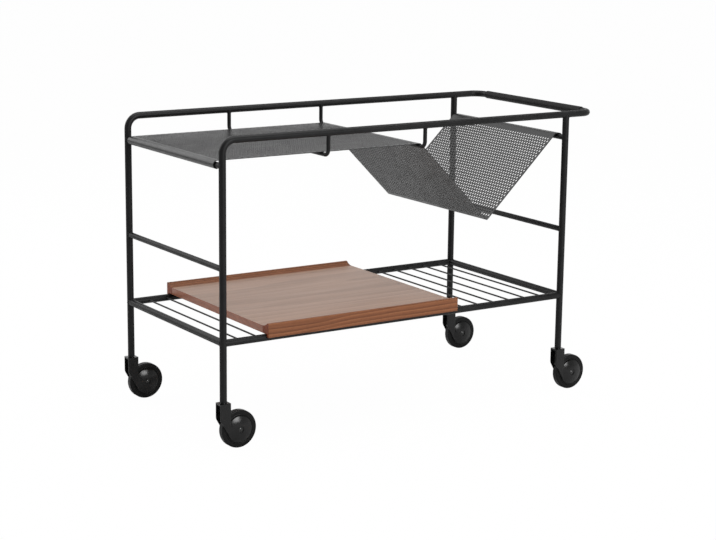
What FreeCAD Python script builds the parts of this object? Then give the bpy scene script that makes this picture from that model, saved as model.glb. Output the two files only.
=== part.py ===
import FreeCAD, Part
import math
import os

import Sketcher

# Storage trolley: a welded tube frame on four swivel casters. One folded sheet makes the
# top shelf and a magazine pocket, and a wooden tray slides along the lower shelf.
# Millimetres. The origin is on the floor under the middle of the outline, +X points to
# the handle, -Y to the near side and +Z up.

doc = FreeCAD.newDocument("storage_trolley")
sheet = doc.addObject("Spreadsheet::Sheet", "dims")

driving_sizes = [
    # Tubes, bars and wires of the frame
    ("tube_dia", 14.0, "legs and top rail, outside"),
    ("tube_wall", 1.5, "wall of the round tubes"),
    ("shelf_tube_dia", 14.0, "lower shelf frame, outside"),
    ("bar_dia", 11.5, "solid cross bars"),
    ("rod_dia", 8.0, "hanger rods"),
    ("wire_dia", 3.5, "wires of the lower shelf"),
    ("wire_count", 19, "wires across the lower shelf"),
    ("weld_gap", 0.05, "root gap at a welded joint"),
    # Lay-out of the frame, on tube axes
    ("leg_spacing_x", 820.0, "left legs to right legs"),
    ("leg_spacing_y", 400.0, "near legs to far legs"),
    ("rail_height", 599.0, "top rail above the floor"),
    ("middle_bar_height", 353.5, "middle cross bars above the floor"),
    ("shelf_height", 210.0, "lower shelf above the floor"),
    ("handle_reach", 69.5, "handle beyond the right legs"),
    ("bend_radius", 26.0, "tube bends, on the axis"),
    # Handle grip
    ("grip_length", 332.0, "sleeve on the handle"),
    ("grip_wall", 1.5, "wall of the sleeve"),
    ("grip_round", 0.8, "rounding at the sleeve's ends"),
    ("grip_fit", 0.05, "sleeve to tube, on the radius"),
    # Folded sheet with its hangers
    ("sheet_thickness", 1.2, "folded sheet"),
    ("sheet_width", 364.5, "folded sheet, along Y"),
    ("sheet_shift", 2.75, "middle of the loosely hung sheet past the frame's, to the far side"),
    ("sheet_drop", 40.6, "middle of the flat shelf below the top rail's axis"),
    ("roll_slack", 1.2, "rolled edge to its bar, on the radius"),
    ("roll_return", 10.0, "degrees the rolled edges turn past a half and a quarter circle"),
    ("seat_gap", 0.3, "rolled edge to the bar where it bears"),
    ("rod_gap", 0.1, "flat shelf to the hanger rods"),
    ("pocket_depth", 170.6, "flat shelf to the pocket's fold"),
    ("pocket_setback", 185.0, "pocket's fold before the right legs"),
    ("fold_radius", 3.0, "pocket's fold, on the middle of the sheet"),
    ("hook_lead", 6.1, "first bend of the hook before its bar"),
    ("hook_radius", 8.0, "first bend of the hook, on the middle of the sheet"),
    ("opening_columns", 10, "openings in each row across the sheet"),
    ("opening_dia", 21.0, "openings of the sheet"),
    ("opening_margin", 8.0, "openings to the sheet's edges and bends, at least"),
    ("left_hanger_setback", 234.0, "left hanger after the left legs"),
    ("right_hanger_setback", 461.5, "right hanger after the left legs"),
    ("hanger_inset", 2.5, "hanger uprights inside the rail axis"),
    ("hanger_bend", 12.0, "hanger bends, on the axis"),
    # Wooden tray
    ("tray_length", 448.0, "along X"),
    ("tray_setback", 92.0, "tray's end after the left legs"),
    ("tray_gap", 0.3, "tray to the shelf rails and legs"),
    ("board_thickness", 14.7, "tray board"),
    ("strip_thickness", 6.2, "tray's edge strip beside the rail"),
    ("strip_height", 28.0, "tray's edge strip, top to bottom"),
    ("lip_rise", 7.5, "edge strip above the board"),
    ("lip_run", 17.0, "edge strip over the rail, inwards to the board"),
    ("lip_flat", 5.0, "flat top of the edge strip"),
    ("lip_round", 2.0, "rounded outer edge of the strip"),
    ("glue_gap", 0.05, "board to edge strip"),
    # Casters
    ("wheel_dia", 75.0, "over the tyre"),
    ("tyre_width", 16.0, "along the axle, over its rings"),
    ("tyre_wall", 10.0, "tyre, on the radius"),
    ("tyre_round", 2.0, "rounded edges of the tread"),
    ("ring_rise", 0.9, "swell of the ring on each side of the tyre"),
    ("ring_width", 2.6, "ring on each side of the tyre, on the radius"),
    ("rim_wall", 2.8, "hub rim, on the radius"),
    ("rim_recess", 0.6, "hub rim inside the tyre's face"),
    ("dish_depth", 2.4, "hub web inside the rim's face at its edge"),
    ("dish_rise", 1.2, "hub web's swell towards its boss"),
    ("dish_radius", 120.0, "swell of the hub web"),
    ("hub_boss_dia", 17.0, "boss of the hub"),
    ("bush_dia", 10.0, "outside of the axle bush"),
    ("axle_dia", 6.0, "axle"),
    ("axle_head_dia", 9.0, "heads of the axle"),
    ("axle_head_rise", 1.3, "heads of the axle, along it"),
    ("axle_well_dia", 13.0, "hollow round a head of the axle"),
    ("axle_well_depth", 1.2, "hollow round a head of the axle"),
    ("side_gap", 0.5, "tyre to fork on each side"),
    ("boss_gap", 0.4, "hub boss and bush to fork on each side"),
    ("fork_wall", 2.2, "arms of the fork"),
    ("fork_length", 23.0, "arms of the fork, along X"),
    ("fork_slope", 61.0, "degrees the fork's lower edge falls"),
    ("fork_nose", 14.0, "rounded lower front of the fork"),
    ("fork_round", 1.5, "rounded edges of the arms"),
    ("cheek_dia", 52.0, "round cheeks of the fork"),
    ("cheek_rim", 0.8, "cheek at its edge"),
    ("cheek_rise", 4.5, "swell of a cheek from its edge to the axle's hollow"),
    ("cheek_radius", 70.0, "swell of a cheek"),
    ("roof_height", 17.5, "fork's top above the wheel"),
    ("roof_wall", 3.0, "fork's top over its open front"),
    ("stem_wall", 1.5, "fork between its open front and the stem"),
    ("well_gap", 2.5, "fork's hollow round the wheel"),
    ("caster_trail", 31.0, "axle behind the swivel axis"),
    ("stem_dia", 7.0, "swivel stem"),
    ("stem_depth", 18.0, "stem in the fork"),
    ("stem_reach", 36.0, "stem in the leg"),
    ("stem_tip", 1.0, "chamfer at the stem's tip"),
    ("groove_depth", 0.5, "stem's retaining groove"),
    ("groove_width", 2.0, "stem's retaining groove"),
    ("groove_setback", 6.0, "groove below the stem's tip"),
    ("washer_thickness", 1.0, "thrust washer"),
    ("washer_dia", 12.0, "thrust washer, outside"),
    ("socket_flange", 1.5, "flange of the leg socket"),
    ("socket_length", 40.0, "leg socket inside the leg"),
    ("swivel_gap", 0.1, "thrust washer to the leg socket"),
    ("press_gap", 0.03, "pressed pieces, on the radius or between faces"),
    ("running_gap", 0.06, "turning pieces, on the radius"),
]
for row, (alias, size, note) in enumerate(driving_sizes, start=1):
    sheet.set(f"A{row}", note)
    sheet.set(f"B{row}", str(size))
    sheet.setAlias(f"B{row}", alias)
doc.recompute()

# Places that several pieces share, as formulas of the driving sizes
fork_half = "dims.fork_length / 2"
grip_radius = "(dims.tube_dia / 2 + dims.grip_wall)"
overall_length = f"({fork_half} + dims.leg_spacing_x + dims.handle_reach + {grip_radius})"
left_x = f"({fork_half} - {overall_length} / 2)"
right_x = f"({left_x} + dims.leg_spacing_x)"
handle_x = f"({right_x} + dims.handle_reach)"
side_y = {"near": "(-dims.leg_spacing_y / 2)", "far": "(dims.leg_spacing_y / 2)"}
end_x = {"left": left_x, "right": right_x}
corners = [(side, end) for end in ("left", "right") for side in ("near", "far")]

wheel_radius = "(dims.wheel_dia / 2)"
fork_top = "(dims.wheel_dia + dims.roof_height)"
washer_top = f"({fork_top} + dims.press_gap + dims.washer_thickness)"
socket_foot = f"({washer_top} + dims.swivel_gap)"
leg_foot = f"({socket_foot} + dims.socket_flange + dims.press_gap)"

sheet_level = "(dims.rail_height - dims.sheet_drop)"
roll_radius = "(dims.bar_dia / 2 + dims.roll_slack)"
sheet_roll = f"({roll_radius} + dims.sheet_thickness / 2)"
roll_height = f"({sheet_level} - {sheet_roll})"
upper_bar_height = f"({roll_height} - dims.roll_slack + dims.seat_gap)"
hook_height = f"({upper_bar_height} - dims.roll_slack + dims.seat_gap)"
crease_radius = "(dims.rod_dia / 2 + dims.rod_gap + dims.sheet_thickness / 2)"
hanger_height = f"({sheet_level} - {crease_radius})"
hanger_x = {end: f"({left_x} + dims.{end}_hanger_setback)" for end in ("left", "right")}
hanger_y = "(dims.leg_spacing_y / 2 - dims.hanger_inset)"
# Every second row of openings is set over by half a pitch
openings_reach = "(dims.sheet_width - 2 * dims.opening_margin - dims.opening_dia)"
column_pitch = f"({openings_reach} / (dims.opening_columns - 0.5))"
row_pitch = f"({column_pitch} * sqrt(3) / 2)"

subparts = []


def value(formula):
    return float(sheet.evalExpression(formula))


def place(piece, x="0", y="0", z="0"):
    for axis, formula in (("x", x), ("y", y), ("z", z)):
        piece.setExpression(f"Placement.Base.{axis}", formula)


def keep(piece, label):
    piece.Label = label
    subparts.append(piece)
    return piece


# Straight rods and tubes
axis_turn = {
    "X": FreeCAD.Rotation(FreeCAD.Vector(0, 1, 0), 90),
    "Y": FreeCAD.Rotation(FreeCAD.Vector(1, 0, 0), -90),
    "Z": FreeCAD.Rotation(),
}


def rod(name, axis, dia, length, x, y, z):
    cylinder = doc.addObject("Part::Cylinder", name)
    cylinder.Placement = FreeCAD.Placement(FreeCAD.Vector(), axis_turn[axis])
    cylinder.setExpression("Radius", f"({dia}) / 2")
    cylinder.setExpression("Height", length)
    place(cylinder, x, y, z)
    return cylinder


def cut(name, base, tools):
    if len(tools) > 1:
        tool = doc.addObject("Part::MultiFuse", f"{name}_tools")
        tool.Shapes = tools
    else:
        tool = tools[0]
    result = doc.addObject("Part::Cut", name)
    result.Base = base
    result.Tool = tool
    return result


# Bent rods and tubes: straight runs joined by tangent arcs
def bent_path(points, radius):
    edges = []
    start = points[0]
    for before, corner, after in zip(points, points[1:], points[2:]):
        arrive = (corner - before).normalize()
        leave = (after - corner).normalize()
        half_turn = arrive.getAngle(leave) / 2
        reach = radius * math.tan(half_turn)
        first = corner - arrive * reach
        last = corner + leave * reach
        inward = (leave - arrive).normalize()
        middle = corner + inward * (radius / math.cos(half_turn) - radius)
        edges.append(Part.LineSegment(start, first).toShape())
        edges.append(Part.Arc(first, middle, last).toShape())
        start = last
    edges.append(Part.LineSegment(start, points[-1]).toShape())
    return Part.Wire(edges)


def bent_rod(path, radius):
    start = path.Edges[0]
    first = start.valueAt(start.FirstParameter)
    heading = start.tangentAt(start.FirstParameter)
    ring = Part.Wire(Part.makeCircle(radius, first, heading))
    solid = path.makePipeShell([ring], True, True)
    expected = math.pi * radius ** 2 * path.Length
    print(f"bent rod: volume {solid.Volume:.0f}, section times length {expected:.0f}")
    return solid


# Sketches whose corners and arcs follow the driving sizes. A sketch numbers the points of an
# edge, and an arc runs anticlockwise from its start.
point_of = {name: number for number, name in enumerate(("start", "end", "centre"), start=1)}
origin = (-1, point_of["start"])


def plane_of(body, role):
    return next(item for item in body.Origin.OriginFeatures if item.Role == role)


def arc_between(start, end, radius, turn):
    chord = end - start
    left = FreeCAD.Vector(-chord.y, chord.x, 0).normalize()
    rise = math.sqrt(radius ** 2 - (chord.Length / 2) ** 2)
    centre = (start + end) * 0.5 + left * rise * turn
    angles = [math.atan2(point.y - centre.y, point.x - centre.x) for point in (start, end)]
    circle = Part.Circle(centre, FreeCAD.Vector(0, 0, 1), radius)
    first, last = angles if turn > 0 else reversed(angles)
    return Part.ArcOfCircle(circle, first, last)


def new_sketch(body, name, role):
    sketch = body.newObject("Sketcher::SketchObject", name)
    sketch.AttachmentSupport = (plane_of(body, role), [""])
    sketch.MapMode = "FlatFace"
    return sketch


def bind(sketch, kind, references, formula):
    number = sketch.addConstraint(Sketcher.Constraint(kind, *references, value(formula)))
    sketch.setExpression(f"Constraints[{number}]", formula)


def bind_point(sketch, edge, end, u, v):
    bind(sketch, "DistanceX", origin + (edge, end), u)
    bind(sketch, "DistanceY", origin + (edge, end), v)


def edge_ends(turn):
    ends = (point_of["start"], point_of["end"])
    return ends if turn > 0 else ends[::-1]


# Line through the points; arcs maps the number of an edge to its radius and turn
def outline(body, name, role, points, arcs=None, closed=True):
    arcs = arcs or {}
    sketch = new_sketch(body, name, role)
    spots = [FreeCAD.Vector(value(u), value(v), 0) for u, v in points]
    pairs = list(zip(spots, spots[1:] + spots[:1]))
    if not closed:
        pairs.pop()
    ends = []
    for edge, (first, last) in enumerate(pairs):
        radius, turn = arcs.get(edge, (None, 1))
        if radius:
            sketch.addGeometry(arc_between(first, last, value(radius), turn))
            bind(sketch, "Radius", (edge,), radius)
        else:
            sketch.addGeometry(Part.LineSegment(first, last))
        ends.append(edge_ends(turn))
    for edge, (first, last) in enumerate(ends):
        bind_point(sketch, edge, first, *points[edge])
        after = (edge + 1) % len(points)
        if after < len(ends):
            sketch.addConstraint(
                Sketcher.Constraint("Coincident", edge, last, after, ends[after][0]))
        else:
            bind_point(sketch, edge, last, *points[after])
    return sketch


def circle(body, name, role, u, v, radius, lift=None):
    sketch = new_sketch(body, name, role)
    middle = FreeCAD.Vector(value(u), value(v), 0)
    sketch.addGeometry(Part.Circle(middle, FreeCAD.Vector(0, 0, 1), value(radius)))
    bind_point(sketch, 0, point_of["centre"], u, v)
    bind(sketch, "Radius", (0,), radius)
    if lift:
        sketch.setExpression("AttachmentOffset.Base.z", lift)
    return sketch


def new_body(label, x="0", y="0", z="0"):
    body = doc.addObject("PartDesign::Body", label)
    place(body, x, y, z)
    return keep(body, label)


# Piece turned about its own Y or Z axis from an outline of place and radius
def turned(label, axis, points, arcs, x, y, z):
    role, reference = {"Y": ("YZ_Plane", "H_Axis"), "Z": ("XZ_Plane", "V_Axis")}[axis]
    body = new_body(label, x, y, z)
    sketch = outline(body, f"{label}_outline", role, points, arcs)
    feature = body.newObject("PartDesign::Revolution", f"{label}_turn")
    feature.Profile = sketch
    feature.ReferenceAxis = (sketch, [reference])
    feature.Angle = 360
    return body


def pad(body, name, sketch, length, symmetric):
    feature = body.newObject("PartDesign::Pad", name)
    feature.Profile = sketch
    feature.setExpression("Length", length)
    feature.Midplane = symmetric
    return feature


def pocket(body, name, sketch, length, symmetric):
    feature = body.newObject("PartDesign::Pocket", name)
    feature.Profile = sketch
    feature.setExpression("Length", length)
    feature.Midplane = symmetric
    feature.Reversed = not symmetric
    return feature


# Envelopes that cope the ends of what is welded to a leg, a top rail or a shelf rail
leg_envelope = {
    (side, end): rod(f"leg_envelope_{side}_{end}", "Z", "dims.tube_dia + 2 * dims.weld_gap",
                     "dims.rail_height", end_x[end], side_y[side], "0")
    for side, end in corners
}
rail_envelope = {
    side: rod(f"rail_envelope_{side}", "X", "dims.tube_dia + 2 * dims.weld_gap",
              "dims.leg_spacing_x + dims.handle_reach", left_x, side_y[side], "dims.rail_height")
    for side in side_y
}
shelf_envelope = {
    side: rod(f"shelf_envelope_{side}", "X", "dims.shelf_tube_dia + 2 * dims.weld_gap",
              "dims.leg_spacing_x", left_x, side_y[side], "dims.shelf_height")
    for side in side_y
}
doc.recompute()


# Frame
def top_rail_tube():
    leg_line = value(left_x)
    grip_line = value(handle_x)
    reach = value("dims.leg_spacing_y / 2")
    foot = value(leg_foot)
    height = value("dims.rail_height")
    route = [
        FreeCAD.Vector(leg_line, -reach, foot),
        FreeCAD.Vector(leg_line, -reach, height),
        FreeCAD.Vector(grip_line, -reach, height),
        FreeCAD.Vector(grip_line, reach, height),
        FreeCAD.Vector(leg_line, reach, height),
        FreeCAD.Vector(leg_line, reach, foot),
    ]
    path = bent_path(route, value("dims.bend_radius"))
    outside = bent_rod(path, value("dims.tube_dia / 2"))
    bore = bent_rod(path, value("dims.tube_dia / 2 - dims.tube_wall"))
    tube = doc.addObject("Part::Feature", "top_rail_tube")
    tube.Shape = outside.cut(bore)
    tube.Placement = FreeCAD.Placement()
    keep(tube, "top_rail_tube")


def right_leg(side):
    label = f"leg_{side}_right"
    length = f"dims.rail_height - {leg_foot}"
    outside = rod(f"{label}_outside", "Z", "dims.tube_dia", length, right_x, side_y[side], leg_foot)
    bore = rod(f"{label}_bore", "Z", "dims.tube_dia - 2 * dims.tube_wall", length,
               right_x, side_y[side], leg_foot)
    keep(cut(label, outside, [bore, rail_envelope[side]]), label)


def cross_bar(label, end, dia, height, extra_tools=()):
    bar = rod(f"{label}_blank", "Y", dia, "dims.leg_spacing_y", end_x[end], side_y["near"], height)
    tools = [leg_envelope[(side, end)] for side in side_y]
    keep(cut(label, bar, tools + list(extra_tools)), label)


def shelf_rail(side):
    label = f"shelf_rail_{side}"
    outside = rod(f"{label}_outside", "X", "dims.shelf_tube_dia", "dims.leg_spacing_x",
                  left_x, side_y[side], "dims.shelf_height")
    bore = rod(f"{label}_bore", "X", "dims.shelf_tube_dia - 2 * dims.tube_wall",
               "dims.leg_spacing_x", left_x, side_y[side], "dims.shelf_height")
    tools = [bore] + [leg_envelope[(side, end)] for end in end_x]
    keep(cut(label, outside, tools), label)


def shelf_wires():
    reach = "(dims.leg_spacing_y / 2 - dims.shelf_tube_dia / 2 - dims.weld_gap)"
    wires = []
    for index in range(1, int(value("dims.wire_count")) + 1):
        x = f"{left_x} + {index} * dims.leg_spacing_x / (dims.wire_count + 1)"
        wires.append(rod(f"shelf_wire_{index}", "Y", "dims.wire_dia", f"2 * {reach}",
                         x, f"-{reach}", "dims.shelf_height"))
    group = doc.addObject("Part::Compound", "shelf_wires")
    group.Links = wires
    keep(group, "shelf_wires")


def hanger(end):
    label = f"hanger_{end}"
    bend = "dims.hanger_bend"
    route = [
        (f"-{hanger_y}", "dims.rail_height"),
        (f"-{hanger_y}", f"{hanger_height} + {bend}"),
        (f"{bend} - {hanger_y}", hanger_height),
        (f"{hanger_y} - {bend}", hanger_height),
        (hanger_y, f"{hanger_height} + {bend}"),
        (hanger_y, "dims.rail_height"),
    ]
    body = doc.addObject("PartDesign::Body", f"{label}_rod")
    place(body, hanger_x[end])
    path = outline(body, f"{label}_route", "YZ_Plane", route, {1: (bend, 1), 3: (bend, 1)}, False)
    section = circle(body, f"{label}_section", "XY_Plane", "0", f"-{hanger_y}", "dims.rod_dia / 2",
                     "dims.rail_height")
    bent = body.newObject("PartDesign::AdditivePipe", f"{label}_pipe")
    bent.Profile = section
    bent.Spine = (path, [f"Edge{number}" for number in range(1, len(route))])
    keep(cut(label, body, list(rail_envelope.values())), label)


def handle_grip():
    half = "dims.grip_length / 2"
    inside = "dims.tube_dia / 2 + dims.grip_fit"
    soft = "dims.grip_round"
    points = [
        (f"-{half}", inside),
        (f"{half}", inside),
        (f"{half}", f"{grip_radius} - {soft}"),
        (f"{half} - {soft}", grip_radius),
        (f"-{half} + {soft}", grip_radius),
        (f"-{half}", f"{grip_radius} - {soft}"),
    ]
    arcs = {2: (soft, 1), 4: (soft, 1)}
    turned("handle_grip", "Y", points, arcs, handle_x, "0", "dims.rail_height")


# Folded sheet: each bend is a circle with a turn, and tangents join them
def tangent_heading(before, after):
    (start, start_radius, start_turn), (end, end_radius, end_turn) = before, after
    way = end - start
    lean = (end_turn * end_radius - start_turn * start_radius) / way.Length
    return math.atan2(way.y, way.x) - math.asin(lean)


def sheet_face(sketch, bends, headings, shift):
    base = sketch.GeometryCount
    last = None
    for (x, z, radius, turn), arrive, leave in zip(bends, headings, headings[1:]):
        middle = FreeCAD.Vector(value(x), value(z), 0)
        face_radius = f"{radius} - {turn} * ({shift})"
        spots = []
        for heading in (arrive, (arrive + leave) / 2, leave):
            normal = FreeCAD.Vector(-math.sin(heading), math.cos(heading), 0)
            spots.append(middle - normal * (turn * value(face_radius)))
        if last:
            sketch.addGeometry(Part.LineSegment(last, spots[0]))
        arc = sketch.addGeometry(Part.Arc(*spots))
        bind_point(sketch, arc, point_of["centre"], x, z)
        bind(sketch, "Radius", (arc,), face_radius)
        if last:
            line = arc - 1
            before_end = edge_ends(bends[(line - base) // 2][3])[1]
            line_start, line_end = edge_ends(1)
            sketch.addConstraint(
                Sketcher.Constraint("Tangent", line - 1, before_end, line, line_start))
            sketch.addConstraint(
                Sketcher.Constraint("Tangent", line, line_end, arc, edge_ends(turn)[0]))
        last = spots[2]
    first_end = edge_ends(bends[0][3])[0]
    last_end = edge_ends(bends[-1][3])[1]
    reach = f"({sheet_roll} + {shift}) * sin(dims.roll_return)"
    bind(sketch, "DistanceX", (base, point_of["centre"], base, first_end), reach)
    bind(sketch, "DistanceY", (arc, point_of["centre"], arc, last_end), f"-{reach}")
    return (base, first_end), (arc, last_end)


def folded_sheet():
    fold_height = f"{sheet_level} - dims.pocket_depth + dims.fold_radius"
    bends = [
        (left_x, roll_height, sheet_roll, -1),
        (hanger_x["right"], hanger_height, crease_radius, -1),
        (f"{right_x} - dims.pocket_setback", fold_height, "dims.fold_radius", 1),
        (f"{right_x} - dims.hook_lead", f"{hook_height} + {sheet_roll} - dims.hook_radius",
         "dims.hook_radius", -1),
        (right_x, hook_height, sheet_roll, -1),
    ]
    circles = [
        (FreeCAD.Vector(value(x), value(z), 0), value(radius), turn)
        for x, z, radius, turn in bends
    ]
    roll_return = math.radians(value("dims.roll_return"))
    tangents = [tangent_heading(first, second) for first, second in zip(circles, circles[1:])]
    headings = [math.pi + roll_return] + tangents + [-math.pi / 2 - roll_return]
    body = new_body("perforated_sheet", "0", "dims.sheet_shift")
    sketch = new_sketch(body, "sheet_profile", "XZ_Plane")
    upper = sheet_face(sketch, bends, headings, "dims.sheet_thickness / 2")
    lower = sheet_face(sketch, bends, headings, "-dims.sheet_thickness / 2")
    for (upper_edge, upper_end), (lower_edge, lower_end) in zip(upper, lower):
        spots = [sketch.getPoint(upper_edge, upper_end), sketch.getPoint(lower_edge, lower_end)]
        cap = sketch.addGeometry(Part.LineSegment(*spots))
        cap_start, cap_end = edge_ends(1)
        sketch.addConstraint(
            Sketcher.Constraint("Coincident", cap, cap_start, upper_edge, upper_end))
        sketch.addConstraint(
            Sketcher.Constraint("Coincident", cap, cap_end, lower_edge, lower_end))
    pad(body, "sheet_pad", sketch, "dims.sheet_width", True)
    flat_length = sum(
        radius * abs(leave - arrive)
        for (centre, radius, turn), arrive, leave in zip(circles, headings, headings[1:]))
    for number, heading in enumerate(tangents, start=1):
        normal = FreeCAD.Vector(-math.sin(heading), math.cos(heading), 0)
        start, end = (
            centre - normal * (turn * radius)
            for centre, radius, turn in circles[number - 1:number + 1])
        flat_length += (end - start).Length
        openings(body, f"openings_{number}", heading, start, end)
    print(f"sheet laid flat: {flat_length:.1f} by {value('dims.sheet_width'):.1f}")


# Round openings in staggered rows on one flat run of the sheet: two rows are drawn and repeated
def openings(body, name, heading, start, end):
    spare = (end - start).Length - value("2 * dims.opening_margin + dims.opening_dia")
    pairs = int((spare / value(row_pitch) + 1) / 2)
    if pairs < 1:
        return
    middle = (start + end) * 0.5
    turn = FreeCAD.Rotation(FreeCAD.Vector(0, 1, 0), -math.degrees(heading))
    sketch = body.newObject("Sketcher::SketchObject", f"{name}_rows")
    sketch.Placement = FreeCAD.Placement(FreeCAD.Vector(middle.x, 0, middle.y), turn)
    for row in (0, 1):
        u = f"({row} + 0.5 - {pairs}) * {row_pitch}"
        v = f"({row} + 0.5 - dims.opening_columns) / 2 * {column_pitch}"
        spot = FreeCAD.Vector(value(u), value(v), 0)
        sketch.addGeometry(Part.Circle(spot, FreeCAD.Vector(0, 0, 1), value("dims.opening_dia / 2")))
        bind_point(sketch, row, point_of["centre"], u, v)
        bind(sketch, "Radius", (row,), "dims.opening_dia / 2")
    holes = pocket(body, f"{name}_pair", sketch, "2 * dims.sheet_thickness", True)
    pattern = doc.addObject("PartDesign::LinearPattern", name)
    pattern.Originals = [holes]
    body.addObject(pattern)
    pattern.Direction = (sketch, ["H_Axis"])
    pattern.Occurrences = pairs
    pattern.setExpression("Length", f"2 * {pairs - 1} * {row_pitch}")
    pattern.Direction2 = (sketch, ["V_Axis"])
    pattern.setExpression("Occurrences2", "dims.opening_columns")
    pattern.setExpression("Length2", f"(dims.opening_columns - 1) * {column_pitch}")


# Tray
board_under = "(dims.shelf_height + dims.shelf_tube_dia / 2 + dims.tray_gap)"
board_top = f"({board_under} + dims.board_thickness)"
strip_inside = "(dims.leg_spacing_y / 2 + dims.tube_dia / 2 + dims.tray_gap)"
strip_outside = f"({strip_inside} + dims.strip_thickness)"
strip_foot = f"({strip_inside} - dims.lip_run)"
board_side = f"({strip_foot} - dims.glue_gap)"
tray_x = f"({left_x} + dims.tray_setback)"


def tray_board():
    board = doc.addObject("Part::Box", "tray_board")
    board.setExpression("Length", "dims.tray_length")
    board.setExpression("Width", f"2 * {board_side}")
    board.setExpression("Height", "dims.board_thickness")
    place(board, tray_x, f"-{board_side}", board_under)
    keep(board, "tray_board")


# Edge strip: it lies on the shelf rail, hangs over the rail's outer side and rises from the
# board in a cove
def tray_edge(side):
    sign, turn = {"near": ("-1", -1), "far": ("1", 1)}[side]
    lip_top = f"({board_top} + dims.lip_rise)"
    bottom = f"({lip_top} - dims.strip_height)"
    cove_run = f"({strip_outside} - dims.lip_flat - {strip_foot})"
    cove_radius = f"({cove_run} ^ 2 + dims.lip_rise ^ 2) / (2 * dims.lip_rise)"
    profile = [
        (strip_outside, bottom),
        (strip_outside, f"{lip_top} - dims.lip_round"),
        (f"{strip_outside} - dims.lip_round", lip_top),
        (f"{strip_outside} - dims.lip_flat", lip_top),
        (strip_foot, board_top),
        (strip_foot, board_under),
        (strip_inside, board_under),
        (strip_inside, bottom),
    ]
    points = [(f"{sign} * ({across})", up) for across, up in profile]
    arcs = {1: ("dims.lip_round", turn), 3: (cove_radius, -turn)}
    body = new_body(f"tray_edge_{side}", tray_x)
    sketch = outline(body, f"tray_edge_{side}_outline", "YZ_Plane", points, arcs)
    pad(body, f"tray_edge_{side}_pad", sketch, "dims.tray_length", False)


# Casters
fork_depth = "(dims.tyre_width + 2 * dims.side_gap + 2 * dims.fork_wall)"
slot_half = "(dims.tyre_width / 2 + dims.side_gap)"
cheek_edge = f"({slot_half} + dims.cheek_rim)"
cheek_crown = f"({cheek_edge} + dims.cheek_rise)"
axle_seat = f"({cheek_crown} - dims.axle_well_depth)"
axle_radius = "(dims.axle_dia / 2)"
bush_radius = "(dims.bush_dia / 2)"
stem_radius = "(dims.stem_dia / 2)"
rim_radius = f"({wheel_radius} - dims.tyre_wall)"


# Fork: two arms that run down from the stem into round, swelling cheeks beside the wheel
def fork(corner, x, y):
    label = f"caster_fork_{corner}"
    slope = "dims.fork_slope"
    cheek = "dims.cheek_dia / 2"
    tangent_x = f"(dims.caster_trail - {cheek} * sin({slope}))"
    tangent_z = f"({wheel_radius} - {cheek} * cos({slope}))"
    nose_z = f"({tangent_z} + ({tangent_x} + {fork_half}) * tan({slope}))"
    nose_reach = f"(dims.fork_nose * tan((90 - {slope}) / 2))"
    arm_points = [
        (f"-{fork_half}", fork_top),
        (fork_half, fork_top),
        (fork_half, tangent_z),
        (tangent_x, tangent_z),
        (f"{nose_reach} * cos({slope}) - {fork_half}", f"{nose_z} - {nose_reach} * sin({slope})"),
        (f"-{fork_half}", f"{nose_z} + {nose_reach}"),
    ]
    body = new_body(label, x, y)
    side_view = outline(body, f"{label}_side", "XZ_Plane", arm_points, {4: ("dims.fork_nose", -1)})
    block = pad(body, f"{label}_block", side_view, fork_depth, True)
    doc.recompute()
    rounding = body.newObject("PartDesign::Fillet", f"{label}_rounding")
    rounding.Base = (block, side_edges(block.Shape))
    rounding.setExpression("Radius", "dims.fork_round")
    cheeks(body, label)
    well = circle(body, f"{label}_well_ring", "XZ_Plane", "dims.caster_trail", wheel_radius,
                  f"{wheel_radius} + dims.well_gap")
    pocket(body, f"{label}_well", well, f"2 * {slot_half}", True)
    front_x = f"-({stem_radius} + dims.stem_wall)"
    front_points = [
        ("-dims.fork_length", "0"),
        (front_x, "0"),
        (front_x, f"{fork_top} - dims.roof_wall"),
        ("-dims.fork_length", f"{fork_top} - dims.roof_wall"),
    ]
    front = outline(body, f"{label}_front", "XZ_Plane", front_points)
    pocket(body, f"{label}_open_front", front, f"2 * {slot_half}", True)
    axle_ring = circle(body, f"{label}_axle_ring", "XZ_Plane", "dims.caster_trail", wheel_radius,
                       f"{axle_radius} + dims.press_gap")
    pocket(body, f"{label}_axle_hole", axle_ring, f"2 * {cheek_crown}", True)
    stem_ring = circle(body, f"{label}_stem_ring", "XY_Plane", "0", "0",
                       f"{stem_radius} + dims.press_gap", f"{fork_top} - dims.stem_depth")
    pocket(body, f"{label}_stem_hole", stem_ring, "2 * dims.stem_depth", False)


# Both cheeks, turned about the axle from an outline of place and height
def cheeks(body, label):
    edge_z = f"{wheel_radius} + dims.cheek_dia / 2"
    well_z = f"{wheel_radius} + dims.axle_well_dia / 2"
    right = [
        (axle_seat, wheel_radius),
        (axle_seat, well_z),
        (cheek_crown, well_z),
        (cheek_edge, edge_z),
    ]
    left = [(f"-{along}", up) for along, up in reversed(right)]
    arcs = {2: ("dims.cheek_radius", 1), 4: ("dims.cheek_radius", 1)}
    sketch = outline(body, f"{label}_cheek_outline", "YZ_Plane", right + left, arcs)
    sketch.setExpression("AttachmentOffset.Base.z", "dims.caster_trail")
    feature = body.newObject("PartDesign::Revolution", f"{label}_cheeks")
    feature.Profile = sketch
    feature.ReferenceAxis = (sketch, [f"Edge{len(right + left)}"])
    feature.Angle = 360


# Edges round both arms of the fork, without those of its flat top
def side_edges(block):
    limit = value(f"{fork_depth} / 2")
    roof = value(fork_top)
    close = 1e-6
    names = []
    for number, edge in enumerate(block.Edges, start=1):
        middle = edge.valueAt((edge.FirstParameter + edge.LastParameter) / 2)
        if abs(abs(middle.y) - limit) < close and abs(middle.z - roof) > close:
            names.append(f"Edge{number}")
    return names


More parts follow.
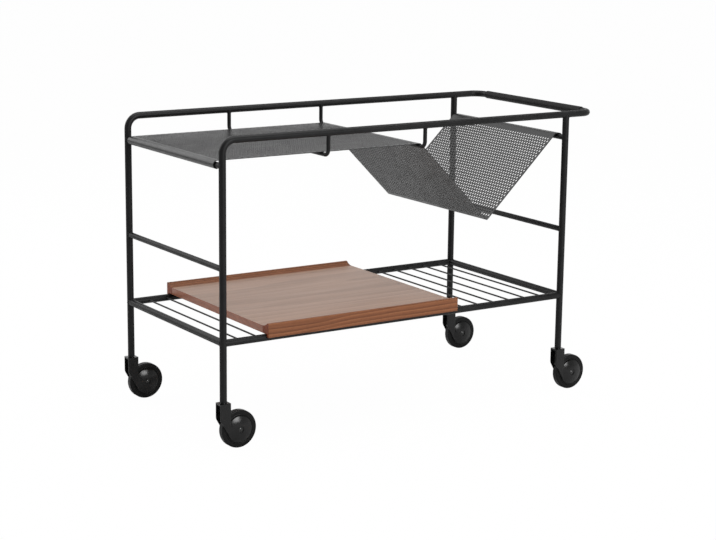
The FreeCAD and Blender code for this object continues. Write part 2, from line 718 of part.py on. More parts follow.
def stem(corner, x, y):
    bottom = f"({fork_top} - dims.stem_depth + dims.press_gap)"
    top = f"({leg_foot} + dims.stem_reach)"
    groove_top = f"({top} - dims.groove_setback)"
    groove_bottom = f"({groove_top} - dims.groove_width)"
    neck = f"{stem_radius} - dims.groove_depth"
    points = [
        ("0", bottom),
        (stem_radius, bottom),
        (stem_radius, groove_bottom),
        (neck, groove_bottom),
        (neck, groove_top),
        (stem_radius, groove_top),
        (stem_radius, f"{top} - dims.stem_tip"),
        (f"{stem_radius} - dims.stem_tip", top),
        ("0", top),
    ]
    turned(f"caster_stem_{corner}", "Z", points, None, x, y, "0")


def ring(label, axis, inner, outer, low, high, x, y, z):
    if axis == "Z":
        points = [(inner, low), (outer, low), (outer, high), (inner, high)]
    else:
        points = [(low, inner), (high, inner), (high, outer), (low, outer)]
    turned(label, axis, points, None, x, y, z)


def leg_socket(corner, x, y):
    bore = f"{stem_radius} + dims.running_gap"
    sleeve = "dims.tube_dia / 2 - dims.tube_wall - dims.press_gap"
    flange_top = f"({leg_foot} - dims.press_gap)"
    top = f"({leg_foot} + dims.socket_length)"
    points = [
        (bore, socket_foot),
        ("dims.tube_dia / 2", socket_foot),
        ("dims.tube_dia / 2", flange_top),
        (sleeve, flange_top),
        (sleeve, top),
        (bore, top),
    ]
    turned(f"leg_socket_{corner}", "Z", points, None, x, y, "0")


def axle(corner, x, y):
    seat = f"({axle_seat} + dims.press_gap)"
    tip = f"({seat} + dims.axle_head_rise)"
    head = "dims.axle_head_dia / 2"
    crown = f"(({head}) ^ 2 + dims.axle_head_rise ^ 2) / (2 * dims.axle_head_rise)"
    points = [
        (f"-{tip}", "0"),
        (f"-{seat}", head),
        (f"-{seat}", axle_radius),
        (seat, axle_radius),
        (seat, head),
        (tip, "0"),
    ]
    arcs = {0: (crown, -1), 4: (crown, -1)}
    turned(f"caster_axle_{corner}", "Y", points, arcs, x, y, wheel_radius)


def hub(corner, x, y):
    boss_end = f"({slot_half} - dims.boss_gap)"
    rim_face = "(dims.tyre_width / 2 - dims.rim_recess)"
    web_edge = f"({rim_face} - dims.dish_depth)"
    web_root = f"({web_edge} + dims.dish_rise)"
    bore = f"({bush_radius} + dims.press_gap)"
    boss = "(dims.hub_boss_dia / 2)"
    dish = f"({rim_radius} - dims.rim_wall)"
    outside = f"({rim_radius} - dims.press_gap)"
    right = [
        (boss_end, bore),
        (boss_end, boss),
        (web_root, boss),
        (web_edge, dish),
        (rim_face, dish),
        (rim_face, outside),
    ]
    left = [(f"-{along}", up) for along, up in reversed(right)]
    arcs = {2: ("dims.dish_radius", 1), 8: ("dims.dish_radius", 1)}
    turned(f"wheel_hub_{corner}", "Y", right + left, arcs, x, y, wheel_radius)


# Tyre: a round ring swells from each side, next to the hub
def tyre(corner, x, y):
    wall = "(dims.tyre_width / 2 - dims.ring_rise)"
    soft = "dims.tyre_round"
    ring_radius = "((dims.ring_width / 2) ^ 2 + dims.ring_rise ^ 2) / (2 * dims.ring_rise)"
    right = [
        (wall, rim_radius),
        (wall, f"{rim_radius} + dims.ring_width"),
        (wall, f"{wheel_radius} - {soft}"),
        (f"({wall} - {soft})", wheel_radius),
    ]
    left = [(f"-{along}", up) for along, up in reversed(right)]
    arcs = {0: (ring_radius, 1), 2: (soft, 1), 4: (soft, 1), 6: (ring_radius, 1)}
    turned(f"wheel_tyre_{corner}", "Y", right + left, arcs, x, y, wheel_radius)


def caster(side, end):
    corner = f"{side}_{end}"
    x, y = end_x[end], side_y[side]
    axle_x = f"{x} + dims.caster_trail"
    bush_end = f"({slot_half} - dims.boss_gap)"
    leg_socket(corner, x, y)
    fork(corner, x, y)
    stem(corner, x, y)
    ring(f"caster_washer_{corner}", "Z", f"{stem_radius} + dims.press_gap", "dims.washer_dia / 2",
         f"{fork_top} + dims.press_gap", washer_top, x, y, "0")
    axle(corner, axle_x, y)
    ring(f"wheel_bush_{corner}", "Y", f"{axle_radius} + dims.running_gap", bush_radius,
         f"-{bush_end}", bush_end, axle_x, y, wheel_radius)
    hub(corner, axle_x, y)
    tyre(corner, axle_x, y)


top_rail_tube()
for side in side_y:
    right_leg(side)
    shelf_rail(side)
for end in end_x:
    cross_bar(f"{end}_upper_bar", end, "dims.bar_dia", upper_bar_height)
    cross_bar(f"{end}_middle_bar", end, "dims.bar_dia", "dims.middle_bar_height")
    cross_bar(f"{end}_lower_tube", end, "dims.shelf_tube_dia", "dims.shelf_height",
              shelf_envelope.values())
    hanger(end)
shelf_wires()
handle_grip()
folded_sheet()
tray_board()
for side in side_y:
    tray_edge(side)
for side, end in corners:
    caster(side, end)
doc.recompute()

# Every object has to be sound before anything is written
for item in doc.Objects:
    if "Invalid" in item.State or "Error" in item.State:
        raise RuntimeError(f"{item.Label} failed: {item.State}")
for piece in subparts:
    if piece.Shape.isNull() or not piece.Shape.isValid():
        raise RuntimeError(f"{piece.Label} has no valid shape")

os.makedirs("parts", exist_ok=True)
for piece in subparts:
    piece.Shape.exportStep(f"parts/{piece.Label}.step")
print(f"{len(subparts)} sub-parts written")
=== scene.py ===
import math

import bmesh
import bpy
from mathutils import Matrix, Vector


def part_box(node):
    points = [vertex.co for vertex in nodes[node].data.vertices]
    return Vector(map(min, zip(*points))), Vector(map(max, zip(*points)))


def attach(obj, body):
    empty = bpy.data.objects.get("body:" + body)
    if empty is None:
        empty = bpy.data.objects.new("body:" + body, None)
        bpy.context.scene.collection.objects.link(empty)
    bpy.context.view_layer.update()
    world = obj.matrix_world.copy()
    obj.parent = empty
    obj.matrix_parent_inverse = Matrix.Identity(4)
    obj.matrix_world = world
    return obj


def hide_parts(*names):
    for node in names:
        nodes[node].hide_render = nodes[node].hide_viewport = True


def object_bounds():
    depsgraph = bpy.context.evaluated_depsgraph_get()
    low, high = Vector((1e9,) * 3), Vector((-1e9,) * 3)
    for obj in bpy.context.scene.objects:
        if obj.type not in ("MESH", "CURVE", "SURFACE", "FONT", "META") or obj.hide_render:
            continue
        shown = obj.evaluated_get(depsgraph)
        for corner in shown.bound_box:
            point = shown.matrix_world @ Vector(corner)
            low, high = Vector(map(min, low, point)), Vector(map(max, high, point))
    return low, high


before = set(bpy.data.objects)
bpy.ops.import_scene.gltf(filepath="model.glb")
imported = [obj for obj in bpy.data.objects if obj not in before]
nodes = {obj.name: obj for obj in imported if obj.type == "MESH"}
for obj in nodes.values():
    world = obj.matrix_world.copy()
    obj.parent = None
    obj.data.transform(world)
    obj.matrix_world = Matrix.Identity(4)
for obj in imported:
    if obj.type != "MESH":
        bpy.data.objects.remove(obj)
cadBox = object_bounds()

mm = 0.001
axisX, axisY, axisZ = Vector((1, 0, 0)), Vector((0, 1, 0)), Vector((0, 0, 1))
cornerNames = ["near_left", "far_left", "near_right", "far_right"]
creaseAngle = math.radians(35)  # steeper edges of an added mesh stay crisp
noiseSpan = (0.3, 0.7)  # nearly all of a noise lies between these


# Small helpers

def boxMiddle(node):
    low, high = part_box(node)
    return (low + high) / 2


def halfHeight(node):
    low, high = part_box(node)
    return (high.z - low.z) / 2


def addObject(name, data):
    thing = bpy.data.objects.new(name, data)
    bpy.context.scene.collection.objects.link(thing)
    return thing


def addMesh(name, verts, faces, body, material):
    mesh = bpy.data.meshes.new(name)
    mesh.from_pydata(verts, [], faces)
    edit = bmesh.new()
    edit.from_mesh(mesh)
    bmesh.ops.recalc_face_normals(edit, faces=edit.faces)
    edit.to_mesh(mesh)
    edit.free()
    mesh.shade_smooth()
    mesh.set_sharp_from_angle(angle=creaseAngle)
    mesh.materials.append(material)
    piece = addObject(name, mesh)
    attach(piece, body)
    return piece


def dress(material, *nodeNames):
    for name in nodeNames:
        slots = nodes[name].data.materials
        slots.clear()
        slots.append(material)


# Helpers for node trees: an input takes another node's output or a plain value

def feed(tree, node, inputs):
    for key, source in inputs.items():
        if isinstance(source, bpy.types.NodeSocket):
            tree.links.new(source, node.inputs[key])
        else:
            node.inputs[key].default_value = source


def addNode(tree, kind, inputs, **settings):
    node = tree.nodes.new(kind)
    for key, setting in settings.items():
        setattr(node, key, setting)
    feed(tree, node, inputs)
    return node


def newMaterial(name):
    material = bpy.data.materials.new(name)
    material.use_nodes = True
    tree = material.node_tree
    return material, tree, tree.nodes["Principled BSDF"]


def calculate(tree, operation, *sources):
    node = addNode(tree, "ShaderNodeMath", dict(enumerate(sources)), operation=operation)
    return node.outputs["Value"]


def vectorMath(tree, operation, result, *sources):
    node = addNode(tree, "ShaderNodeVectorMath", dict(enumerate(sources)), operation=operation)
    return node.outputs[result]


def mix(tree, share, first, second, **settings):
    inputs = {"Factor": share, "A": first, "B": second}
    return addNode(tree, "ShaderNodeMix", inputs, **settings).outputs["Result"]


def stretchedCoords(tree, scale):
    coords = addNode(tree, "ShaderNodeTexCoord", {})
    inputs = {"Vector": coords.outputs["Object"], "Scale": scale}
    return addNode(tree, "ShaderNodeMapping", inputs).outputs["Vector"]


def noise(tree, vector, scale=1.0, detail=2.0, roughness=0.5):
    inputs = {"Vector": vector, "Scale": scale, "Detail": detail, "Roughness": roughness}
    return addNode(tree, "ShaderNodeTexNoise", inputs).outputs["Fac"]


def remap(tree, fac, low, high, span=noiseSpan):
    inputs = {"Value": fac, "From Min": span[0], "From Max": span[1], "To Min": low, "To Max": high}
    return addNode(tree, "ShaderNodeMapRange", inputs).outputs["Result"]


def ramp(tree, fac, places, colours):
    node = addNode(tree, "ShaderNodeValToRGB", {"Fac": fac})
    elements = node.color_ramp.elements
    while len(elements) < len(places):
        elements.new(0.5)
    for element, place, colour in zip(elements, places, colours):
        element.position = place
        element.color = (*colour, 1.0)
    return node.outputs["Color"]


def unevenColour(tree, fac, colour, share):
    shades = [[part * gain for part in colour] for gain in (1 - share, 1 + share)]
    return ramp(tree, fac, noiseSpan, shades)


def bump(tree, height, distance, strength):
    inputs = {"Height": height, "Distance": distance, "Strength": strength}
    return addNode(tree, "ShaderNodeBump", inputs).outputs["Normal"]


# Camera

cameraSetup = {
    "place": (-2.0367, -3.1166, 1.0701),
    "yaw": -33.045,  # degrees round the trolley from its near side
    "pitch": 12.162,  # degrees above level
    "roll": 0.669,
    "lens": 90.5,
    "sensor": 36.0,
}


def makeCamera(setup):
    yaw, pitch, roll = (math.radians(setup[key]) for key in ("yaw", "pitch", "roll"))
    level = Vector((math.sin(yaw), -math.cos(yaw), 0))
    back = level * math.cos(pitch) + axisZ * math.sin(pitch)
    right = axisZ.cross(back).normalized()
    up = back.cross(right)
    turnedRight = right * math.cos(roll) + up * math.sin(roll)
    turnedUp = up * math.cos(roll) - right * math.sin(roll)
    data = bpy.data.cameras.new("photoCamera")
    data.sensor_fit = "HORIZONTAL"
    data.sensor_width = setup["sensor"]
    data.lens = setup["lens"]
    camera = addObject("photoCamera", data)
    axes = Matrix((turnedRight, turnedUp, back)).transposed().to_4x4()
    camera.matrix_world = Matrix.Translation(setup["place"]) @ axes
    bpy.context.scene.camera = camera


makeCamera(cameraSetup)
bpy.context.scene.view_settings.view_transform = "Standard"
print("camera set")


# Studio: a white surround that is dimmer in front, a pale floor and soft lamps

studio = {
    "front": (-0.54, -0.84, 0.0),  # level direction out of the studio's open side
    "frontLight": 0.22,
    "backLight": 1.36,
    "skyLight": 0.40,  # share of that light left high up
    "skyFrom": (0.18, 0.5),  # rise of a direction, from the level light to the high light
    "white": 1.0,  # level of the surround where the camera sees it
    "floorColour": (0.74, 0.74, 0.74),
    "floorRoughness": 0.9,
    "floorWhite": 0.985,  # share of plain white that the camera sees on the floor
    "floorSize": 60.0,
    "lamps": {
        "backLamp": {"place": (-1.1, 1.9, 1.9), "size": 2.6, "watts": 30.0},
        "frontLamp": {"place": (1.4, -7.3, 2.5), "size": 2.8, "watts": 310.0},
        "topLamp": {"place": (0.3, -0.4, 3.4), "size": 3.0, "watts": 105.0},
    },
}


def seenDirectly(tree):
    path = addNode(tree, "ShaderNodeLightPath", {})
    rays = [path.outputs[name] for name in ("Is Camera Ray", "Is Transmission Ray")]
    return calculate(tree, "MAXIMUM", *rays)


def makeSurround(setup):
    world = bpy.data.worlds.new("studioSurround")
    world.use_nodes = True
    bpy.context.scene.world = world
    tree = world.node_tree
    direction = addNode(tree, "ShaderNodeTexCoord", {}).outputs["Generated"]
    facing = vectorMath(tree, "DOT_PRODUCT", "Value", direction, setup["front"])
    level = remap(tree, facing, setup["backLight"], setup["frontLight"], (-1.0, 1.0))
    axes = addNode(tree, "ShaderNodeSeparateXYZ", {"Vector": direction})
    sky = remap(tree, axes.outputs["Z"], 1.0, setup["skyLight"], setup["skyFrom"])
    light = calculate(tree, "MULTIPLY", level, sky)
    strength = mix(tree, seenDirectly(tree), light, setup["white"], data_type="FLOAT")
    feed(tree, tree.nodes["Background"], {"Color": (1, 1, 1, 1), "Strength": strength})


def makeFloor(setup):
    half = setup["floorSize"] / 2
    corners = [(-half, -half, 0), (half, -half, 0), (half, half, 0), (-half, half, 0)]
    mesh = bpy.data.meshes.new("studioFloor")
    mesh.from_pydata(corners, [], [(0, 1, 2, 3)])
    material, tree, shader = newMaterial("paleFloor")
    feed(tree, shader, {
        "Base Color": (*setup["floorColour"], 1),
        "Roughness": setup["floorRoughness"],
        "Specular IOR Level": 0.0,
    })
    glow = addNode(tree, "ShaderNodeEmission", {})
    share = remap(tree, seenDirectly(tree), 0.0, setup["floorWhite"], (0.0, 1.0))
    surfaces = {"Fac": share, 1: shader.outputs["BSDF"], 2: glow.outputs["Emission"]}
    shown = addNode(tree, "ShaderNodeMixShader", surfaces)
    feed(tree, tree.nodes["Material Output"], {"Surface": shown.outputs["Shader"]})
    mesh.materials.append(material)
    floor = addObject("studioFloor", mesh)


def makeLamps(setup):
    aim = (cadBox[0] + cadBox[1]) / 2
    for name, lamp in setup["lamps"].items():
        data = bpy.data.lights.new(name, "AREA")
        data.size = lamp["size"]
        data.energy = lamp["watts"]
        light = addObject(name, data)
        light.location = lamp["place"]
        light.rotation_mode = "QUATERNION"
        light.rotation_quaternion = (aim - light.location).to_track_quat("-Z", "Y")


makeSurround(studio)
makeFloor(studio)
makeLamps(studio)
print("studio set")


# Powder coat of the frame and the sheet

coatLook = {
    "colour": (0.0075, 0.0075, 0.0078),
    "unevenness": 0.25,  # of the colour, up and down
    "patches": 35.0,  # of uneven colour and gloss, to a metre
    "roughness": (0.38, 0.48),
    "specular": 0.17,
    "grain": 900.0,  # orange peel, bumps to a metre
    "depth": 0.04 * mm,
    "relief": 0.5,  # share of that depth that shows
}
sheetLook = dict(
    coatLook,
    colour=(0.011, 0.011, 0.0115),
    roughness=(0.36, 0.44),
    specular=0.48,
    grain=1300.0,
)


def makeFinish(name, look):
    material, tree, shader = newMaterial(name)
    place = stretchedCoords(tree, (1, 1, 1))
    patches = noise(tree, place, look["patches"], detail=3.0)
    grain = noise(tree, place, look["grain"])
    feed(tree, shader, {
        "Base Color": unevenColour(tree, patches, look["colour"], look["unevenness"]),
        "Roughness": remap(tree, patches, *look["roughness"]),
        "Specular IOR Level": look["specular"],
        "Normal": bump(tree, grain, look["depth"], look["relief"]),
    })
    return material


frameCoat = makeFinish("framePowderCoat", coatLook)
sheetCoat = makeFinish("sheetPowderCoat", sheetLook)
dress(
    frameCoat,
    "top_rail_tube", "leg_near_right", "leg_far_right", "shelf_rail_near", "shelf_rail_far",
    "left_upper_bar", "left_middle_bar", "left_lower_tube", "right_upper_bar", "right_middle_bar",
    "right_lower_tube", "shelf_wires", "hanger_left", "hanger_right",
)


# Walnut of the tray: rings about a far pith, long streaks and fine pores along X

boardLook = {
    "pith": (0.0, 0.05, -0.16),
    "ringsPerMetre": 90.0,
    "ringWander": 12 * mm,
    "wanderStretch": (1.6, 9.0, 9.0),  # waves to a metre, along and across the grain
    "streakStretch": (5.0, 260.0, 260.0),
    "streakShare": 0.72,  # of the figure that is streaks and not rings
    "figureStops": (0.18, 0.5, 0.82),  # where the wood is light, mid and dark
    "light": (0.35, 0.190, 0.112),
    "mid": (0.275, 0.142, 0.080),
    "dark": (0.20, 0.098, 0.052),
    "endGrain": (1.30, 0.86, 0.78),  # tint of the cut ends, over the colour along the grain
    "poreStretch": (70.0, 2600.0, 2600.0),
    "poreSpan": (0.58, 0.72),  # of the noise, from sound wood to an open pore
    "poreShade": 0.62,  # share of the colour left in a pore
    "poreDepth": 0.08 * mm,
    "poreRelief": 0.6,  # share of that depth that shows
    "roughness": (0.36, 0.44),
    "specular": 0.72,
}
edgeLook = dict(
    boardLook,
    pith=(0.0, 0.0, 0.30),
    ringsPerMetre=210.0,
    ringWander=20 * mm,
    streakShare=0.55,
    light=(0.275, 0.106, 0.044),
    mid=(0.187, 0.066, 0.026),
    dark=(0.100, 0.033, 0.013),
    roughness=(0.42, 0.54),
    specular=0.22,
)


def makeWalnut(name, look):
    material, tree, shader = newMaterial(name)
    coords = addNode(tree, "ShaderNodeTexCoord", {})
    fromPith = vectorMath(tree, "SUBTRACT", "Vector", coords.outputs["Object"], look["pith"])
    across = vectorMath(tree, "MULTIPLY", "Vector", fromPith, (0.0, 1.0, 1.0))
    radius = vectorMath(tree, "LENGTH", "Value", across)
    waves = noise(tree, stretchedCoords(tree, look["wanderStretch"]), detail=3.0, roughness=0.45)
    wander = remap(tree, waves, -look["ringWander"], look["ringWander"], (0.0, 1.0))
    ringPlace = calculate(tree, "ADD", radius, wander)
    rings = calculate(tree, "FRACT", calculate(tree, "MULTIPLY", ringPlace, look["ringsPerMetre"]))
    streaks = noise(tree, stretchedCoords(tree, look["streakStretch"]), detail=5.0, roughness=0.6)
    figure = mix(tree, look["streakShare"], rings, streaks, data_type="FLOAT")
    wood = ramp(tree, figure, look["figureStops"], [look[tone] for tone in ("light", "mid", "dark")])
    poreNoise = noise(tree, stretchedCoords(tree, look["poreStretch"]))
    pores = remap(tree, poreNoise, 1.0, look["poreShade"], look["poreSpan"])
    poredWood = mix(tree, 1.0, wood, pores, data_type="RGBA", blend_type="MULTIPLY")
    normal = addNode(tree, "ShaderNodeSeparateXYZ", {"Vector": coords.outputs["Normal"]})
    cutEnd = calculate(tree, "ABSOLUTE", normal.outputs["X"])
    endTint = (*look["endGrain"], 1)
    feed(tree, shader, {
        "Base Color": mix(tree, cutEnd, poredWood, endTint, data_type="RGBA", blend_type="MULTIPLY"),
        "Roughness": remap(tree, streaks, *look["roughness"]),
        "Specular IOR Level": look["specular"],
        "Normal": bump(tree, pores, look["poreDepth"], look["poreRelief"]),
    })
    return material


dress(makeWalnut("boardWalnut", boardLook), "tray_board")
dress(makeWalnut("edgeWalnut", edgeLook), "tray_edge_near", "tray_edge_far")


# Grip, casters and their small pieces

mouldedBase = {"unevenness": 0.2, "patches": 60.0, "relief": 0.6}  # the same on all of them
mouldedLooks = {
    "gripRubber": {
        "grey": 0.005, "roughness": (0.50, 0.62), "specular": 0.17,
        "grain": 700.0, "depth": 0.06 * mm,
    },
    "forkPlastic": {
        "grey": 0.0035, "roughness": (0.17, 0.23), "specular": 0.30,
        "grain": 1500.0, "depth": 0.03 * mm,
    },
    "hubPlastic": {
        "grey": 0.003, "roughness": (0.16, 0.24), "specular": 0.18,
        "grain": 1200.0, "depth": 0.01 * mm,
    },
    "tyreRubber": {
        "grey": 0.0025, "roughness": (0.32, 0.42), "specular": 0.15,
        "grain": 1100.0, "depth": 0.04 * mm,
    },
    "axleBlack": {
        "grey": 0.008, "roughness": (0.20, 0.28), "specular": 0.50,
        "grain": 900.0, "depth": 0.01 * mm,
    },
    "socketPlastic": {
        "grey": 0.004, "roughness": (0.40, 0.50), "specular": 0.2,
        "grain": 1500.0, "depth": 0.03 * mm,
    },
    "bushPlastic": {
        "grey": 0.48, "roughness": (0.35, 0.45), "specular": 0.5,
        "grain": 1500.0, "depth": 0.02 * mm,
    },
}
steelLook = {
    "colour": (0.50, 0.50, 0.51),
    "unevenness": 0.15,
    "turning": (90.0, 90.0, 2600.0),  # marks to a metre, round and along the stem
    "roughness": (0.26, 0.40),
    "depth": 0.01 * mm,
    "relief": 0.5,
}
casterNodes = {
    "forkPlastic": ["caster_fork"],
    "hubPlastic": ["wheel_hub"],
    "tyreRubber": ["wheel_tyre"],
    "axleBlack": ["caster_axle", "caster_washer"],
    "socketPlastic": ["leg_socket"],
    "bushPlastic": ["wheel_bush"],
    "stemSteel": ["caster_stem"],
}


def makeSteel(name, look):
    material, tree, shader = newMaterial(name)
    turning = noise(tree, stretchedCoords(tree, look["turning"]))
    feed(tree, shader, {
        "Metallic": 1.0,
        "Base Color": unevenColour(tree, turning, look["colour"], look["unevenness"]),
        "Roughness": remap(tree, turning, *look["roughness"]),
        "Normal": bump(tree, turning, look["depth"], look["relief"]),
    })
    return material


finishes = {"stemSteel": makeSteel("stemSteel", steelLook)}
for name, look in mouldedLooks.items():
    finishes[name] = makeFinish(name, dict(mouldedBase, colour=[look["grey"]] * 3, **look))
dress(finishes["gripRubber"], "handle_grip")
for name, stems in casterNodes.items():
    dress(finishes[name], *(f"{stem}_{corner}" for stem in stems for corner in cornerNames))
print("finishes set")


# Perforated sheet: one folded strip with round holes in staggered rows

sheetCut = {
    "thickness": 1.2 * mm,
    "upperGain": 0.4 * mm,  # of the upper skin, over the CAD sheet's
    "foldRadius": 3.0 * mm,  # pocket's fold, on the middle of the sheet
    "pocketSetback": 185.0 * mm,  # pocket's fold before the right bar
    "hookLead": 6.1 * mm,  # first bend of the hook before its bar
    "hookRadius": 8.0 * mm,
    "rollReturn": math.radians(10),  # turn of the rolled edges past a half and a quarter circle
    "bendStep": math.radians(12),
    "leastBendSteps": 2,
    "holeRadius": 2.75 * mm,
    "holePitch": 8.0 * mm,
    "plainEnds": [  # of each run with holes, before the first row and after the last
        (4.0 * mm, 6.0 * mm),
        (6.0 * mm, 6.0 * mm),
        (6.0 * mm, 10.0 * mm),
    ],
    "sideMargin": 3.4 * mm,  # plain strip along the open edges, at least
}
cellRim = [(1, 1), (1, 0), (1, -1), (0, -1), (0, 0), (0, 1)]  # lines and columns, round a hole


def rowPitch(cut):
    return cut["holePitch"] * math.sqrt(3) / 2  # puts a hole equally far from all its neighbours


def sheetBends(cut):
    low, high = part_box("perforated_sheet")
    half = cut["thickness"] / 2
    leftBar, rightBar = boxMiddle("left_upper_bar"), boxMiddle("right_upper_bar")
    rollRadius = leftBar.x - low.x - half
    level = high.z - half
    rodLow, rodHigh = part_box("hanger_right")
    rodHeight = rodLow.z + (rodHigh.x - rodLow.x) / 2
    barGap = rollRadius - half - halfHeight("left_upper_bar")
    seatGap = leftBar.z + barGap - (level - rollRadius)
    hookHeight = rightBar.z - barGap + seatGap
    foldHeight = low.z + half + cut["foldRadius"]
    hookStart = (rightBar.x - cut["hookLead"], hookHeight + rollRadius - cut["hookRadius"])
    return [  # centre, radius, and turn: 1 anticlockwise or -1 clockwise, seen from the near side
        (Vector((leftBar.x, level - rollRadius)), rollRadius, -1),
        (Vector((boxMiddle("hanger_right").x, rodHeight)), level - rodHeight, -1),
        (Vector((rightBar.x - cut["pocketSetback"], foldHeight)), cut["foldRadius"], 1),
        (Vector(hookStart), cut["hookRadius"], -1),
        (Vector((rightBar.x, hookHeight)), rollRadius, -1),
    ]


def tangentHeading(before, after):
    (start, startRadius, startTurn), (end, endRadius, endTurn) = before, after
    way = end - start
    lean = (endTurn * endRadius - startTurn * startRadius) / way.length
    return math.atan2(way.y, way.x) - math.asin(lean)


def normalTo(heading):
    return Vector((-math.sin(heading), math.cos(heading)))


def sheetLines(cut):
    bends = sheetBends(cut)
    headings = [math.pi + cut["rollReturn"]]
    headings += [tangentHeading(first, second) for first, second in zip(bends, bends[1:])]
    headings.append(-math.pi / 2 - cut["rollReturn"])
    pitch = rowPitch(cut)
    lines = []  # place, heading, and whether holes follow up to the next line
    for index, (centre, radius, turn) in enumerate(bends):
        arrive, leave = headings[index], headings[index + 1]
        steps = max(cut["leastBendSteps"], round(abs(leave - arrive) / cut["bendStep"]))
        for step in range(steps + 1):
            heading = arrive + (leave - arrive) * step / steps
            lines.append((centre - normalTo(heading) * turn * radius, heading, False))
        if index >= len(cut["plainEnds"]):
            continue
        nextCentre, nextRadius, nextTurn = bends[index + 1]
        start = lines[-1][0]
        run = nextCentre - normalTo(leave) * nextTurn * nextRadius - start
        plainStart, plainEnd = cut["plainEnds"][index]
        spare = run.length - plainStart - plainEnd
        rows = int(spare / pitch)
        first = plainStart + (spare - rows * pitch) / 2
        for row in range(rows + 1):
            spot = start + run.normalized() * (first + row * pitch)
            lines.append((spot, leave, row < rows))
    return lines


def sheetColumns(cut):
    low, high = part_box("perforated_sheet")
    middle = (low.y + high.y) / 2
    step = cut["holePitch"] / 2
    count = int(((high.y - low.y) / 2 - step / 4) / step)  # a quarter step clear of the edges
    inner = [middle + column * step for column in range(-count, count + 1)]
    return [low.y, *inner, high.y], count


def perforatedSheet(cut):
    lines = sheetLines(cut)
    columns, count = sheetColumns(cut)
    width = len(columns)
    half, radius = cut["thickness"] / 2, cut["holeRadius"]
    rises = {1: half + cut["upperGain"], -1: -half}  # of the upper and the lower skin
    margin = cut["sideMargin"] + radius
    holeSides = 2 * len(cellRim)  # two for each point of the rim
    verts, faces = [], []

    def addPoint(place, heading, y, side):
        spot = place + normalTo(heading) * rises[side]
        verts.append((spot.x, y, spot.y))

    def at(line, column, side):
        return line * width + column + (len(lines) * width if side < 0 else 0)

    def takesHole(middle, parity):
        inside = columns[0] + margin <= columns[middle] <= columns[-1] - margin
        staggered = (middle - 1 - count) % 2 == parity  # every other column, shifted row by row
        return inside and staggered and 1 < middle < width - 2

    def addHole(line, middle):
        place, heading, _ = lines[line]
        along = Vector((math.cos(heading), math.sin(heading)))
        centre = place + along * rowPitch(cut) / 2
        rings = []
        for side in rises:
            ring = len(verts)
            rings.append(ring)
            for number in range(holeSides):
                angle = 2 * math.pi * number / holeSides
                spot = centre + along * radius * math.sin(angle)
                addPoint(spot, heading, columns[middle] + radius * math.cos(angle), side)
            rim = [at(line + row, middle + column, side) for row, column in cellRim]
            for number, corner in enumerate(rim):
                nextCorner = rim[(number + 1) % len(rim)]
                steps = (2 * number + 1, 2 * number + 2, 2 * number + 3)
                facing, between, beyond = (ring + step % holeSides for step in steps)
                faces.append((facing, between, corner))
                faces.append((corner, nextCorner, beyond, between))
        for number in range(holeSides):
            following = (number + 1) % holeSides
            wall = [rings[0] + number, rings[0] + following, rings[1] + following, rings[1] + number]
            faces.append(wall)

    for side in rises:
        for place, heading, _ in lines:
            for y in columns:
                addPoint(place, heading, y, side)
    holeCount = 0
    parity = 0
    for line in range(len(lines) - 1):
        withHoles = lines[line][2]
        if withHoles:
            parity = 1 - parity
        column = 0
        while column < width - 1:
            if withHoles and takesHole(column + 1, parity):
                addHole(line, column + 1)
                holeCount += 1
                column += 2
                continue
            for side in rises:
                faces.append((at(line, column, side), at(line, column + 1, side),
                              at(line + 1, column + 1, side), at(line + 1, column, side)))
            column += 1
        for border in (0, width - 1):
            faces.append((at(line, border, 1), at(line + 1, border, 1),
                          at(line + 1, border, -1), at(line, border, -1)))
    for line in (0, len(lines) - 1):
        for column in range(width - 1):
            faces.append((at(line, column, 1), at(line, column + 1, 1),
                          at(line, column + 1, -1), at(line, column, -1)))
    piece = addMesh("perforatedSheet", verts, faces, "frame", sheetCoat)
    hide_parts("perforated_sheet")
    print(f"perforated sheet: {holeCount} holes")


perforatedSheet(sheetCut)


# Weld beads: a rippled fillet on the curve where a round bar meets a round tube

weld = {
    "bead": 1.2 * mm,
    "wireBead": 0.7 * mm,
    "railBead": 0.4 * mm,  # dressed down at the legs, where the tray's ends come up close
    "ripple": 0.10,  # share of the bead, up and down
    "ripplePitch": 2.4 * mm,
    "leastRipples": 4,
    "stepsPerRipple": 4,
    "sides": 6,
    "wireCount": 19,
}


def beadSpots(joint, setup):
    out, along = joint["out"], joint["along"]
    side = along.cross(out)
    barRadius, tubeRadius = joint["barRadius"], joint["tubeRadius"]
    ripples = max(setup["leastRipples"], round(2 * math.pi * barRadius / setup["ripplePitch"]))
    steps = ripples * setup["stepsPerRipple"]
    spots = []
    for step in range(steps):
        angle = 2 * math.pi * step / steps
        across = joint["offset"] + barRadius * math.cos(angle)
        rise = math.sqrt(max(tubeRadius ** 2 - across ** 2, 0.0))
        barNormal = side * math.cos(angle) + along * math.sin(angle)
        tubeNormal = (side * across + out * rise) / tubeRadius
        spot = joint["foot"] + side * across + along * barRadius * math.sin(angle) + out * rise
        wave = math.sin(2 * math.pi * step / setup["stepsPerRipple"])
        swell = joint["bead"] * (1 + setup["ripple"] * wave)
        spots.append((spot, (barNormal + tubeNormal).normalized(), swell))
    return spots


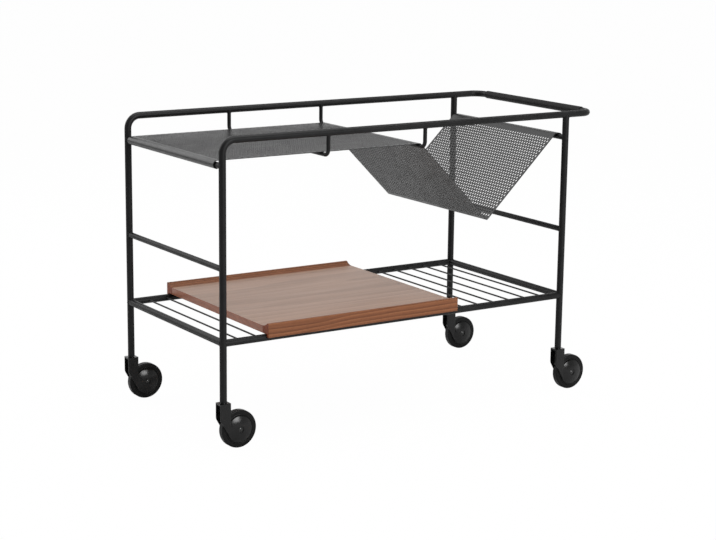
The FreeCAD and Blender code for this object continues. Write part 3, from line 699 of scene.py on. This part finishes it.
def addBead(verts, faces, joint, setup):
    spots = beadSpots(joint, setup)
    steps = len(spots)
    sides = setup["sides"]
    base = len(verts)
    for step, (spot, normal, swell) in enumerate(spots):
        run = (spots[(step + 1) % steps][0] - spots[step - 1][0]).normalized()
        normal = (normal - run * normal.dot(run)).normalized()
        across = run.cross(normal)
        for number in range(sides):
            angle = 2 * math.pi * number / sides
            verts.append(spot + (normal * math.cos(angle) + across * math.sin(angle)) * swell)
    for step in range(steps):
        for number in range(sides):
            corners = [(step, number), (step + 1, number), (step + 1, number + 1), (step, number + 1)]
            faces.append([base + (ring % steps) * sides + place % sides for ring, place in corners])


def weldJoints(setup):
    tubeRadius = halfHeight("left_lower_tube")
    legs = {end: boxMiddle(f"{end}_middle_bar").x for end in ("left", "right")}
    sides = {side: boxMiddle(f"leg_{side}_right").y for side in ("near", "far")}
    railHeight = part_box("top_rail_tube")[1].z - tubeRadius
    shelfHeight = boxMiddle("shelf_rail_near").z
    wireLow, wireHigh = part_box("shelf_wires")
    wireRadius = (wireHigh.z - wireLow.z) / 2
    wirePitch = (wireHigh.x - wireLow.x - 2 * wireRadius) / (setup["wireCount"] - 1)
    joints = []

    def join(foot, out, along, barRadius, offset=0.0, bead=setup["bead"]):
        joints.append({
            "foot": Vector(foot), "out": out, "along": along, "barRadius": barRadius,
            "tubeRadius": tubeRadius, "offset": offset, "bead": bead,
        })

    for side, y in sides.items():
        inward = axisY if side == "near" else -axisY
        for end, x in legs.items():
            for bar in ("upper_bar", "middle_bar", "lower_tube"):
                node = f"{end}_{bar}"
                join((x, y, boxMiddle(node).z), inward, axisZ, halfHeight(node))
            towardsMiddle = axisX if end == "left" else -axisX
            join((x, y, shelfHeight), towardsMiddle, axisZ, tubeRadius, bead=setup["railBead"])
            low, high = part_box(f"hanger_{end}")
            rodRadius = (high.x - low.x) / 2
            upright = low.y + rodRadius if side == "near" else high.y - rodRadius
            join(((low.x + high.x) / 2, y, railHeight), -axisZ, axisX, rodRadius, upright - y)
        join((legs["right"], y, railHeight), -axisZ, axisX, tubeRadius)
        for number in range(setup["wireCount"]):
            x = wireLow.x + wireRadius + number * wirePitch
            join((x, y, shelfHeight), inward, axisX, wireRadius, bead=setup["wireBead"])
    return joints


def weldBeads(setup):
    verts, faces = [], []
    joints = weldJoints(setup)
    for joint in joints:
        addBead(verts, faces, joint, setup)
    addMesh("weldBeads", verts, faces, "frame", frameCoat)
    print(f"weld beads: {len(joints)} joints")


weldBeads(weld)
